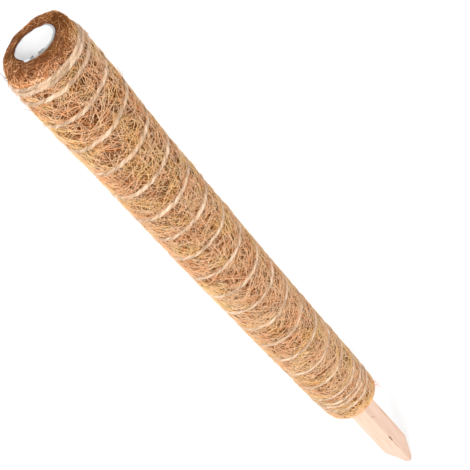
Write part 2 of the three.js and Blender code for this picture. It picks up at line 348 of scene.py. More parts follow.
def rim_covered(angle):
    """The share of the tube's top rim that loose fibres cover at an angle: nothing at the front right,
    all of it at the back and the left. It changes by a smooth step of a cosine, and two sine waves make
    the change ragged."""
    ragged = RIM_RAGGED * np.sin(9 * angle) * np.sin(4 * angle + 1)
    return smooth_step(RIM_COVERED_SHARE - RIM_CHANGE * np.cos(angle - RIM_BARE_ANGLE) + ragged)


END_RISE = -0.2
END_TILT = 1.9
END_TILT_ANGLE = math.radians(60)
END_RIPPLE = 0.2
END_RAGGED = 0.3
END_FADE = 9.0
END_TUFT_HEIGHT = 1.6
END_TUFT_ANGLE = math.radians(70)
END_TUFT_SPREAD = math.radians(28)
RIM_LIFT = 0.7
RIM_DROP = 0.4


def end_rise(angle, along, height):
    """How much higher than square the mat's top end stands.

    Its outer part is cut aslant by a cosine, with smaller sine waves, and has a tuft on its high side.
    Its inner edge lies over the tube's rim where it covers it and below the rim elsewhere. This fades
    out over the few millimetres below the end."""
    outer = END_RISE + END_TILT * np.cos(angle - END_TILT_ANGLE) + END_RIPPLE * np.sin(7 * angle + 1)
    outer = outer + END_RAGGED * np.sin(13 * angle + 2) * np.sin(4 * angle)
    outer = outer + END_TUFT_HEIGHT * bell(turn_between(angle, END_TUFT_ANGLE), END_TUFT_SPREAD)
    inner = (RIM_LIFT + RIM_DROP) * rim_covered(angle) - RIM_DROP
    share = smooth_step((height - SLEEVE_LENGTH + END_FADE) / END_FADE)
    return share * (inner + (outer - inner) * smooth_step(along / SIDE_START))


FOOT_DROP = 0.7
FOOT_TILT = 0.7
FOOT_FADE = 10.0


def foot_drop(angle, height):
    """How much lower than square the mat's bottom end hangs: it is cut aslant by a cosine, lowest at the
    right front, and this fades out above the end."""
    return (FOOT_DROP + FOOT_TILT * np.cos(angle)) * smooth_step(1 - height / FOOT_FADE)


RIM_COVER = 2.2
RIM_LEAST_COVER = 0.25
NO_BRIDGE = -9.0


def sleeve_points(angle, along, lift, bridge=NO_BRIDGE):
    """Points over the mat at an angle and a distance along its outline, lifted off it, and the outward
    directions there. The swell moves a point only as far as its outward direction is level. A bridging
    fibre is stretched over the pinches, so it stays at its bridge height where the swell is lower. On the
    top face the mat's inner edge reaches in over the tube's rim where it covers it."""
    radius, height, level, upright = outline(along)
    covered = np.maximum(rim_covered(angle), RIM_LEAST_COVER)
    reach = RIM_COVER * covered * np.clip(1 - along / END_FACE, 0, 1)
    height = height + end_rise(angle, along, height) - foot_drop(angle, height)
    raised = lift + np.maximum(sleeve_swell(angle, height), bridge + flare(height)) * level**2
    points = on_pole(radius + raised * level - reach, angle, height + raised * upright)
    return points, on_pole(level, angle, upright)


BED_DEPTH = 1.45
BED_EDGE_DEPTH = 0.25
BED_EDGE_REACH = 4
BED_MARGIN = 0.2
BED_BUMPS = 0.3
BED_COLUMNS = 160
BED_ROWS = 320
BED_WALL_ROWS = 8
BED_WALL_LOW = 0.8
BED_WALL_INSET = 2.2
LIP_DROP = 0.1
LIP_COVER_DROP = 0.3


def coir_bed():
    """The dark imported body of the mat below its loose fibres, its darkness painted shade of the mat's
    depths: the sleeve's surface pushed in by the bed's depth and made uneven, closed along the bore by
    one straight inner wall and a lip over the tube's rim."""
    angle = np.arange(BED_COLUMNS) * FULL_TURN / BED_COLUMNS
    along = np.linspace(BED_MARGIN, OUTLINE_LENGTH - BED_MARGIN, BED_ROWS)
    grid_along, grid_angle = np.meshgrid(along, angle, indexing="ij")
    from_edge = smooth_step(np.minimum(grid_along, OUTLINE_LENGTH - grid_along) / BED_EDGE_REACH)
    bumps = BED_BUMPS * ripple(MAT_SEAT * grid_angle, grid_along, seed=5, waves=24, shortest=1.5, longest=6)
    lift = -BED_EDGE_DEPTH + from_edge * (bumps - BED_DEPTH + BED_EDGE_DEPTH)
    points, _ = sleeve_points(grid_angle, grid_along, lift)
    wall_height = np.linspace(BED_WALL_LOW, SLEEVE_LENGTH - BED_WALL_INSET, BED_WALL_ROWS)
    lip_height = points[:1, :, 2] - LIP_DROP - LIP_COVER_DROP * rim_covered(angle)
    height = np.concatenate([np.repeat(wall_height[:, None], BED_COLUMNS, axis=1), lip_height])
    grid = np.concatenate([points, on_pole(MAT_INNER, angle, height)])
    quads, places = grid_faces(len(grid), BED_COLUMNS, True, True)
    return put_piece("coir_bed", grid.reshape(-1, 3), [quads[:, ::-1]], [places[:, ::-1]])


# The sleeve's fibres
FIBRE_STEPS = 5
FIBRE_SIDES = 3
FIBRE_MIDDLE = FIBRE_STEPS // 2
END_TO_END = np.linspace(-1, 1, FIBRE_STEPS)
FROM_START = np.linspace(0, 1, FIBRE_STEPS)
SWAYS = (0.03, 0.2)
SWAY_LENGTHS = (7, 16)


def fibre_paths(rng, along, angle, length, heading, bend):
    """Angle and distance along the outline of each step of many fibres.

    A fibre's heading turns steadily with its bend and sways by one sine wave, and the steps along that
    heading add up to its path, which is then moved so that its middle is at the place asked for."""
    count = len(length)
    run = length[:, None] * END_TO_END / 2
    sway = rng.uniform(*SWAYS, count)[:, None]
    wave = FULL_TURN / rng.uniform(*SWAY_LENGTHS, count)[:, None]
    way = heading[:, None] + bend[:, None] * run
    way = way + sway * np.sin(wave * run + rng.uniform(0, FULL_TURN, count)[:, None])
    stride = length[:, None] / (FIBRE_STEPS - 1)
    around = np.cumsum(np.cos(way) * stride, axis=1)
    down = np.cumsum(np.sin(way) * stride, axis=1)
    around -= around[:, FIBRE_MIDDLE, None]
    down -= down[:, FIBRE_MIDDLE, None]
    return angle[:, None] + around / MAT_SEAT, along[:, None] + down


FIBRE_MARGIN = 0.3
FIBRE_THINNING = 0.65
PATCH_TONE = 0.16
WANDER_TONE = 0.04
TONE_LIFT = 0.08
FOOT_LIGHTENING = 0.2
FOOT_DARKENING = 0.15
FOOT_DARK_ABOVE = 4
FOOT_DARK_LENGTH = 6
END_DULL_AND_SHADE = 0.6
END_DARK_AND_SHADE = 0.39
TOP_DARK_SHADE_REACH = 10.3
FOOT_END_DARK_SHADE_REACH = 3.0


def put_fibres(name, rng, angle, along, lift, radius, tone, bridge=NO_BRIDGE):
    """One piece of loose fibres from their paths. Those that run off the outline are left out. A fibre
    thins towards its ends. Its tone wanders along it and follows slow patches over the sleeve. The mat
    is a little lighter towards its foot, darker on the foot's rounding, and dull and dark on both of its
    cut ends, partly their own colour and partly painted shade of the gaps between the cut fibres, where
    the darkness falls off with the distance from the outline's end."""
    inside = (along.min(axis=1) > FIBRE_MARGIN) & (along.max(axis=1) < OUTLINE_LENGTH - FIBRE_MARGIN)
    angle = angle[inside]
    along = along[inside]
    paths, outward = sleeve_points(angle, along, lift[inside], bridge)
    radii = radius[inside, None] * (1 - FIBRE_THINNING * END_TO_END**4)
    points, faces, places = strands(paths, outward, radii, FIBRE_SIDES)
    round_way = MAT_SEAT * angle[:, FIBRE_MIDDLE]
    patches = ripple(round_way, along[:, FIBRE_MIDDLE], seed=7, waves=12, shortest=14, longest=60)
    tones = tone[inside, None] + PATCH_TONE * patches[:, None] + rng.normal(0, WANDER_TONE, radii.shape)
    tones = tones + TONE_LIFT + FOOT_LIGHTENING * along / OUTLINE_LENGTH
    tones = tones - FOOT_DARKENING * smooth_step((along - SIDE_END + FOOT_DARK_ABOVE) / FOOT_DARK_LENGTH)
    # Both cut ends are darkened and dulled: partly their own colour, partly painted shade of the gaps
    # between the cut fibres.
    end_dark_and_shade = np.exp(-((along / TOP_DARK_SHADE_REACH) ** 4)) + bell(OUTLINE_LENGTH - along, FOOT_END_DARK_SHADE_REACH)
    tones = tones * (1 - END_DULL_AND_SHADE * end_dark_and_shade) - END_DARK_AND_SHADE * end_dark_and_shade
    return put_piece(name, points, faces, places, np.repeat(tones.ravel(), FIBRE_SIDES))


# Each layer of fibres on the sleeve: name, seed, count, shortest and longest fibre, scatter of the
# headings, lowest and highest lift, thinnest and thickest radius, darkest and lightest tone
# The deeper layers' darker tones are partly dirt and partly painted shade.
FIBRE_LAYERS = (
    ("coir_fibres_deep", 11, 7600, (4, 11), 3.0, (-1.3, -0.8), (0.19, 0.27), (-0.2, 0.3)),
    ("coir_fibres_inner", 12, 7600, (4, 11), 3.0, (-0.9, -0.5), (0.14, 0.21), (-1.0, 0.1)),
    ("coir_fibres_lower", 13, 6500, (5, 13), 1.2, (-0.55, -0.2), (0.11, 0.16), (-0.7, 0.35)),
    ("coir_fibres_middle", 16, 5000, (6, 16), 1.2, (-0.3, 0.0), (0.11, 0.16), (-0.1, 1.2)),
    ("coir_fibres_outer", 15, 3800, (8, 22), 1.2, (-0.15, 0.2), (0.12, 0.18), (0.3, 1.7)),
    ("coir_fibres_fine", 14, 2600, (6, 16), 1.4, (0.0, 0.35), (0.08, 0.11), (0.4, 1.6)),
)
# Adding these two fractions again and again, and keeping what is past the point, fills a square evenly
EVEN_STEPS = (0.7548777, 0.5698403)
LAYER_MARGIN = 2
LAYER_JITTER = 0.04
LAYER_BEND = 0.035
LAYER_ARCHES = (0.15, 0.55)
LAYER_LEANS = (-0.4, 0.4)
COMB_SEED = 60
LEVEL_REACH = 9
LEVEL_SHARE = 0.5


def coir_layer(name, seed, count, lengths, scatter, lifts, radii, tones):
    """One layer of the sleeve's loose fibres, evenly spread. The deeper layers are the darker ones, partly
    dirt and partly painted shade, so dark gaps show between the pale fibres on top. The headings follow
    slow waves over the sleeve, with some scatter, as if combed in patches, and near the top end they are
    turned part of the way round the pole. A fibre's middle stands higher than its ends by a parabola,
    and it leans, so that one end stands out and the other goes down into the layer."""
    rng = np.random.default_rng(seed)
    spread = (np.arange(count)[:, None] * EVEN_STEPS + rng.uniform(0, 1, 2)) % 1
    along = LAYER_MARGIN + (OUTLINE_LENGTH - 2 * LAYER_MARGIN) * spread[:, 0]
    angle = FULL_TURN * spread[:, 1] + rng.normal(0, LAYER_JITTER, count)
    length = rng.uniform(*lengths, count)
    combing = ripple(MAT_SEAT * angle, along, seed=seed + COMB_SEED, waves=10, shortest=14, longest=45)
    heading = (math.pi * combing + rng.normal(0, scatter, count)) % FULL_TURN
    level = np.round(heading / math.pi) * math.pi
    kept = 1 - LEVEL_SHARE + LEVEL_SHARE * smooth_step(along / LEVEL_REACH)
    heading = level + (heading - level) * kept
    bend = rng.normal(0, LAYER_BEND, count)
    path_angle, path_along = fibre_paths(rng, along, angle, length, heading, bend)
    arch = rng.uniform(*LAYER_ARCHES, count)[:, None]
    lean = rng.uniform(*LAYER_LEANS, count)[:, None]
    lift = rng.uniform(*lifts, count)[:, None] + arch * (0.5 - END_TO_END**2) + lean * END_TO_END
    radius = rng.uniform(*radii, count)
    tone = rng.uniform(*tones, count)
    return put_fibres(name, rng, path_angle, path_along, lift, radius, tone)


END_FIBRES = 2800
END_MARGIN = 0.5
END_LENGTHS = (4, 12)
END_LEAST_SCATTER = 0.1
END_SCATTER_REACH = 4
TOP_SCATTER = 0.9
FOOT_SCATTER = 2.9
END_FIBRE_BEND = 0.05
END_LIFTS = (-0.9, 0.1)
END_MIDDLE_LIFT = -0.4
END_ARCH = 0.3
END_RADII = (0.11, 0.19)
END_TONES = (-0.1, 1.2)
END_LIFT_SHADE_RISE = 1.2


def coir_end(name, seed, most_scatter, at_foot):
    """Short fibres on one cut end face of the mat and over its rounding, level round the tube and more
    scattered further out. A fibre's middle stands higher than its ends by a parabola, and the higher a
    fibre lies, the lighter it is: painted shade on the lower fibres."""
    rng = np.random.default_rng(seed)
    inward = rng.uniform(END_MARGIN, MAT_SEAT - MAT_INNER + MAT_END_ROUND, END_FIBRES)
    along = OUTLINE_LENGTH - inward if at_foot else inward
    angle = rng.uniform(0, FULL_TURN, END_FIBRES)
    length = rng.uniform(*END_LENGTHS, END_FIBRES)
    scatter = END_LEAST_SCATTER + most_scatter * smooth_step(inward / END_SCATTER_REACH)
    heading = rng.normal(0, scatter) + math.pi * rng.integers(0, 2, END_FIBRES)
    bend = rng.normal(0, END_FIBRE_BEND, END_FIBRES)
    path_angle, path_along = fibre_paths(rng, along, angle, length, heading, bend)
    level = rng.uniform(*END_LIFTS, END_FIBRES)
    lift = level[:, None] + END_ARCH * (0.5 - END_TO_END**2)
    radius = rng.uniform(*END_RADII, END_FIBRES)
    # Fibres that lie lower are darker: painted shade.
    tone = rng.uniform(*END_TONES, END_FIBRES) + END_LIFT_SHADE_RISE * (level - END_MIDDLE_LIFT)
    return put_fibres(name, rng, path_angle, path_along, lift, radius, tone)


STRAY_FIBRES = 420
STRAY_MARGIN = 6
STRAY_LENGTHS = (6, 15)
STRAY_BEND = 0.07
STRAY_DEPTH = 0.5
STRAY_LEAST_STAND = 1.0
STRAY_MEAN_STAND = 0.9
STRAY_MOST_STAND = 3.2
STRAY_RADII = (0.08, 0.13)
STRAY_TONES = (0.1, 0.8)


def coir_strays():
    """Loose fibres with one end standing off the sleeve: the lift grows with the square of the way."""
    rng = np.random.default_rng(31)
    along = rng.uniform(STRAY_MARGIN, OUTLINE_LENGTH - STRAY_MARGIN, STRAY_FIBRES)
    angle = rng.uniform(0, FULL_TURN, STRAY_FIBRES)
    length = rng.uniform(*STRAY_LENGTHS, STRAY_FIBRES)
    heading = rng.uniform(0, FULL_TURN, STRAY_FIBRES)
    bend = rng.normal(0, STRAY_BEND, STRAY_FIBRES)
    path_angle, path_along = fibre_paths(rng, along, angle, length, heading, bend)
    stand = rng.exponential(STRAY_MEAN_STAND, STRAY_FIBRES).clip(0, STRAY_MOST_STAND)
    lift = -STRAY_DEPTH + (STRAY_LEAST_STAND + stand)[:, None] * FROM_START**2
    radius = rng.uniform(*STRAY_RADII, STRAY_FIBRES)
    tone = rng.uniform(*STRAY_TONES, STRAY_FIBRES)
    return put_fibres("coir_stray_fibres", rng, path_angle, path_along, lift, radius, tone)


# Each tuft of fibres that stand off the sleeve: angle, distance along the outline, count, height, heading
TUFTS = (
    (math.radians(36), SIDE_START + 33, 9, 3.0, math.radians(-35)),
    (math.radians(-134), SIDE_START + 110, 6, 2.0, math.radians(100)),
    (math.radians(15), SIDE_END - 1.5, 14, 5.5, math.radians(95)),
)
TUFT_ALONG_SCATTER = 1.5
TUFT_ANGLE_SCATTER = 0.08
TUFT_HEADING_SCATTER = 0.5
TUFT_BEND = 0.08
TUFT_LENGTHS = (4, 8)
TUFT_DEPTH = 0.4
TUFT_STANDS = (0.3, 1.1)
TUFT_CLIMB = 1.3
TUFT_RADII = (0.06, 0.1)
TUFT_TONES = (0.1, 0.6)


def coir_tufts():
    """Fibres that stand off the sleeve in tufts: each tuft's fibres start close together and spread, and
    their lift grows with a power of the way."""
    rng = np.random.default_rng(33)
    counts = [count for _, _, count, _, _ in TUFTS]
    place, distance, stand, way = (np.repeat([tuft[i] for tuft in TUFTS], counts) for i in (0, 1, 3, 4))
    total = sum(counts)
    along = distance + rng.normal(0, TUFT_ALONG_SCATTER, total)
    angle = place + rng.normal(0, TUFT_ANGLE_SCATTER, total)
    length = rng.uniform(*TUFT_LENGTHS, total)
    heading = way + rng.normal(0, TUFT_HEADING_SCATTER, total)
    bend = rng.normal(0, TUFT_BEND, total)
    path_angle, path_along = fibre_paths(rng, along, angle, length, heading, bend)
    height = stand * rng.uniform(*TUFT_STANDS, total)
    lift = -TUFT_DEPTH + height[:, None] * FROM_START**TUFT_CLIMB
    radius = rng.uniform(*TUFT_RADII, total)
    tone = rng.uniform(*TUFT_TONES, total)
    return put_fibres("coir_tufts", rng, path_angle, path_along, lift, radius, tone)


GAP_FIBRES = 16
GAP_ANGLE = math.radians(-56)
GAP_HEIGHT = 53.3
GAP_ALONG_SCATTER = 0.25
GAP_ANGLE_SCATTER = 0.09
GAP_LENGTHS = (4, 7)
GAP_HEADING = -0.05
GAP_HEADING_SCATTER = 0.06
GAP_LIFTS = (0.35, 0.5)
GAP_RADII = (0.12, 0.18)
GAP_SHADE_TONES = (-0.6, -0.2)


def coir_slit_shade():
    """A dark slit in the mat's surface, its shade painted as a close bundle of straight dark fibres that
    runs round the pole, at an even lift."""
    rng = np.random.default_rng(34)
    middle = SIDE_START + SLEEVE_LENGTH - MAT_END_ROUND - GAP_HEIGHT
    along = middle + rng.normal(0, GAP_ALONG_SCATTER, GAP_FIBRES)
    angle = GAP_ANGLE + rng.normal(0, GAP_ANGLE_SCATTER, GAP_FIBRES)
    length = rng.uniform(*GAP_LENGTHS, GAP_FIBRES)
    heading = rng.normal(GAP_HEADING, GAP_HEADING_SCATTER, GAP_FIBRES)
    path_angle, path_along = fibre_paths(rng, along, angle, length, heading, np.zeros(GAP_FIBRES))
    lift = rng.uniform(*GAP_LIFTS, GAP_FIBRES)[:, None] + np.zeros(FIBRE_STEPS)
    radius = rng.uniform(*GAP_RADII, GAP_FIBRES)
    # The dark tones are painted shade of the slit.
    tone = rng.uniform(*GAP_SHADE_TONES, GAP_FIBRES)
    return put_fibres("coir_slit_shade", rng, path_angle, path_along, lift, radius, tone)


BRIDGING_FIBRES = 1800
BRIDGING_BELOW_TOP = 12
BRIDGING_ABOVE_FOOT = 16
BRIDGING_LENGTHS = (6, 15)
BRIDGING_BEND = 0.05
BRIDGING_ARCHES = (0.7, 1.1)
BRIDGING_LIFTS = (0.2, 0.6)
BRIDGING_RADII = (0.07, 0.13)
BRIDGING_TONES = (0.4, 1.3)


def coir_bridging():
    """Thin fibres that lie over the twine here and there: they keep to the height of the mat between the
    turns instead of dipping into the pinches, and their ends go down by a parabola."""
    rng = np.random.default_rng(36)
    along = rng.uniform(BRIDGING_BELOW_TOP, OUTLINE_LENGTH - BRIDGING_ABOVE_FOOT, BRIDGING_FIBRES)
    angle = rng.uniform(0, FULL_TURN, BRIDGING_FIBRES)
    length = rng.uniform(*BRIDGING_LENGTHS, BRIDGING_FIBRES)
    heading = rng.uniform(0, FULL_TURN, BRIDGING_FIBRES)
    bend = rng.normal(0, BRIDGING_BEND, BRIDGING_FIBRES)
    path_angle, path_along = fibre_paths(rng, along, angle, length, heading, bend)
    arch = rng.uniform(*BRIDGING_ARCHES, BRIDGING_FIBRES)[:, None]
    lift = rng.uniform(*BRIDGING_LIFTS, BRIDGING_FIBRES)[:, None] - arch * END_TO_END**2
    radius = rng.uniform(*BRIDGING_RADII, BRIDGING_FIBRES)
    tone = rng.uniform(*BRIDGING_TONES, BRIDGING_FIBRES)
    return put_fibres("coir_bridging_fibres", rng, path_angle, path_along, lift, radius, tone, MAT_SWELL)


# The twine
TWINE_BED = 0.4
TWINE_STEP = 0.62
TAIL_STEPS = 3
BEND_STEPS = 8
TWINE_WANDER = 0.3
TWINE_SHIVER = 0.15
TWINE_LOOSENESS = 0.1


def twine_path():
    """Points along the middle of the twine, from one tucked end to the other.

    Each end starts straight out from inside the seam and turns through a quarter bend into the winding.
    The winding then runs down the helix, with sine waves in its height and radius, as it was pulled on
    by hand."""
    winding = WINDING_RADIUS - TWINE_BED
    bend_loops = TAIL_BEND / (FULL_TURN * WINDING_RADIUS)
    straight = np.linspace(TAIL_DEPTH, TAIL_BEND, TAIL_STEPS + 1)[:-1]
    quarter = np.linspace(0, math.pi / 2, BEND_STEPS + 1)[:-1]
    depth_in = np.concatenate([straight, TAIL_BEND * (1 - np.sin(quarter))])
    loops_in = np.concatenate([0 * straight, bend_loops * (1 - np.cos(quarter))])
    steps = round((TWINE_LOOPS - 2 * bend_loops) * FULL_TURN * winding / TWINE_STEP)
    loops_on = np.linspace(bend_loops, TWINE_LOOPS - bend_loops, steps)
    loops = np.concatenate([loops_in, loops_on, TWINE_LOOPS - loops_in[::-1]])
    depth = np.concatenate([depth_in, 0 * loops_on, depth_in[::-1]])
    angle = SEAM_ANGLE - FULL_TURN * loops
    height = turn_height(loops) + TWINE_WANDER * np.sin(2.3 * angle) * np.sin(0.61 * angle + 1)
    height = height + TWINE_SHIVER * np.sin(7.1 * angle)
    radius = winding - depth + flare(height) + TWINE_LOOSENESS * np.sin(5.3 * angle)
    return on_pole(radius, angle, height)


def twine_axes(path):
    """Tangent, sideways and upright directions along a path that runs nearly level."""
    tangent = unit(np.gradient(path, axis=0))
    sideways = unit(np.cross(tangent, [0.0, 0.0, 1.0]))
    return tangent, sideways, np.cross(sideways, tangent)


TWINE_LAY = 5.5
PLY_COUNT = 3
PLY_SIDES = 6
PLY_RADIUS = 0.4
PLY_OUT = 0.28
PLY_UP = 0.4
PLY_FLATTENING = 0.2
FLATTER_ABOVE = 170
FLATTER_REACH = 60
PLY_LOOSENESS = 0.15
PLY_LOOSE_LENGTH = 9
SLUB_WAVES = 5
SLUB_LENGTHS = (1.5, 6)
SLUB_STARTS = (0, 6)
SLUB_SIZE = 0.08
SLUB_TONE = 0.15
PLY_TONE = 0.52
PLY_DULLING = 0.22
DULLER_ABOVE = 190
DULLER_REACH = 90


def twine_plies(path):
    """The plies twisted round the twine's middle, one turn to each lay. The pull of the winding has
    pressed them a little flat, more so towards the top, where they are also duller. Sine waves along
    each ply give it thick and thin places."""
    rng = np.random.default_rng(41)
    _, sideways, upright = twine_axes(path)
    distance = np.concatenate(([0], np.cumsum(np.linalg.norm(np.diff(path, axis=0), axis=1))))
    twist = FULL_TURN * distance / TWINE_LAY + FULL_TURN * np.arange(PLY_COUNT)[:, None] / PLY_COUNT
    flat = 1 + PLY_FLATTENING * smooth_step((path[:, 2] - FLATTER_ABOVE) / FLATTER_REACH)
    loose = flat * (1 + PLY_LOOSENESS * np.sin(distance / PLY_LOOSE_LENGTH))
    plies = path + (PLY_OUT * np.cos(twist))[..., None] * sideways
    plies = plies + (PLY_UP * loose * np.sin(twist))[..., None] * upright
    slub = sum(
        np.sin(distance / rng.uniform(*SLUB_LENGTHS) + rng.uniform(*SLUB_STARTS, (PLY_COUNT, 1)))
        for _ in range(SLUB_WAVES)
    )
    radii = PLY_RADIUS * flat * (1 + SLUB_SIZE * slub)
    outward = np.broadcast_to(upright, plies.shape)
    points, faces, places = strands(plies, outward, radii, PLY_SIDES)
    dull = PLY_DULLING * smooth_step((path[:, 2] - DULLER_ABOVE) / DULLER_REACH)
    tones = np.repeat((PLY_TONE - dull + SLUB_TONE * slub).ravel(), PLY_SIDES)
    return put_piece("twine_plies", points, faces, places, tones)


TWINE_HAIRS = 7500
HAIR_STEPS = 5
HAIR_SIDES = 3
HAIR_MARGIN = 20
HAIR_START = 0.6
HAIR_SINK = 0.6
HAIR_LENGTHS = (1.5, 5.0)
HAIR_MEAN_RISE = 0.45
HAIR_MOST_RISE = 1.6
HAIR_SWING = 0.7
RISE_POWER = 1.7
SWING_POWER = 1.4
HAIR_RADII = (0.045, 0.085)
HAIR_THINNING = 0.6
HAIR_TONES = (0.55, 1.0)


def twine_fuzz(path):
    """Fine hairs on the twine: each starts on its surface and runs on along it, and bends away from it
    and aside by powers of the way. Hairs that would go down into the mat stay at its surface."""
    rng = np.random.default_rng(51)
    tangent, sideways, upright = twine_axes(path)
    start = rng.integers(HAIR_MARGIN, len(path) - HAIR_MARGIN, TWINE_HAIRS)
    around = rng.uniform(0, FULL_TURN, TWINE_HAIRS)[:, None]
    out = np.cos(around) * sideways[start] + np.sin(around) * upright[start]
    over = np.cos(around) * upright[start] - np.sin(around) * sideways[start]
    way = np.linspace(0, 1, HAIR_STEPS)[None, :, None]
    length = (rng.uniform(*HAIR_LENGTHS, TWINE_HAIRS) * rng.choice([-1, 1], TWINE_HAIRS))[:, None, None]
    rise = rng.exponential(HAIR_MEAN_RISE, TWINE_HAIRS).clip(0, HAIR_MOST_RISE)[:, None, None]
    swing = rng.normal(0, HAIR_SWING, TWINE_HAIRS)[:, None, None]
    paths = path[start][:, None] + HAIR_START * out[:, None] + way * length * tangent[start][:, None]
    paths = paths + way**RISE_POWER * rise * out[:, None] + way**SWING_POWER * swing * over[:, None]
    inward = np.linalg.norm(paths[..., :2], axis=-1, keepdims=True)
    lowest = WINDING_RADIUS - TWINE_BED + flare(paths[..., 2:]) - HAIR_SINK
    paths[..., :2] *= np.maximum(inward, lowest) / inward
    thinner = 1 - HAIR_THINNING * np.linspace(0, 1, HAIR_STEPS)
    radii = rng.uniform(*HAIR_RADII, TWINE_HAIRS)[:, None] * thinner
    outward = np.broadcast_to(out[:, None], paths.shape)
    points, faces, places = strands(paths, outward, radii, HAIR_SIDES)
    tones = np.repeat(rng.uniform(*HAIR_TONES, TWINE_HAIRS), HAIR_STEPS * HAIR_SIDES)
    return put_piece("twine_fuzz", points, faces, places, tones)


# The stake, whose point is blunter than in the part's source and a little off the middle
POINT_LENGTH = 22
POINT_HALF = 2.2
POINT_SHIFT = 0.3
STAKE_FACE_STEPS = 64
STAKE_SEEN_STEP = 0.4
STAKE_SEEN_TOP = 4
STAKE_HIDDEN_STEP = 4.0
STAKE_HIDDEN_LOW = 6
STAKE_ARRIS = 0.8
POINT_ARRIS_SHARE = 0.6
GRAIN_DEPTH = 0.045
GRAIN_ACROSS = 3
GRAIN_DRIFT = 0.02
GRAIN_ALONG = 0.03
PLAIN_TONE = 0.5
FRONT_FACE_SHADE = -0.015
STREAKS_TONE = 0.03
STREAKS_ACROSS = 2
STREAKS_ALONG = 0.12
CRACK_TOP = -48.4
CRACK_LENGTH = 20.0
CRACK_WIDTH = 0.75
CRACK_LEAST_WIDTH = 0.01
CRACK_DEPTH = 1.1
CRACK_FROM_CORNER = 0.7
CRACK_HOOK = 1.0
CRACK_HOOK_REACH = 3
CRACK_HOOK_TURN = 1.7
CRACK_OPENING = 0.04
CRACK_CLOSING = 0.3
CRACK_HEAD_END = 0.42
CRACK_HEAD_FADE = 0.14
CRACK_TAIL_SHARE = 0.45
CRACK_TAIL_SHADE = 0.26
CRACK_HEAD_SHADE = 0.46
CRACK_SOFTNESS = 0.6
# Each wobble of the crack: its size, and the height over which it turns by one radian
CRACK_WOBBLES = ((0.15, 2.3), (0.08, 0.7))
KNOT_PLACE = (-4.7, -23.2)
KNOT_SIZE = (0.45, 4.0)
KNOT_SLANT = 0.55
KNOT_TONE = 0.36
STREAK_PLACE = (5.2, -35)
STREAK_SIZE = (0.9, 8)
STREAK_DARKNESS = 0.225
WORN_PLACE = (0.5, -22)
WORN_SIZE = (2.2, 8)
WORN_TONE = 0.45
TIP_LENGTH = 1.6
TIP_TONE = 0.3
FAN_PLACE = 0.01


def spot(across, up, middle, half_sizes):
    """A soft oval spot on a face: 1 in its middle, falling off as a bell over its half sizes."""
    return bell(across - middle[0], half_sizes[0]) * bell(up - middle[1], half_sizes[1])


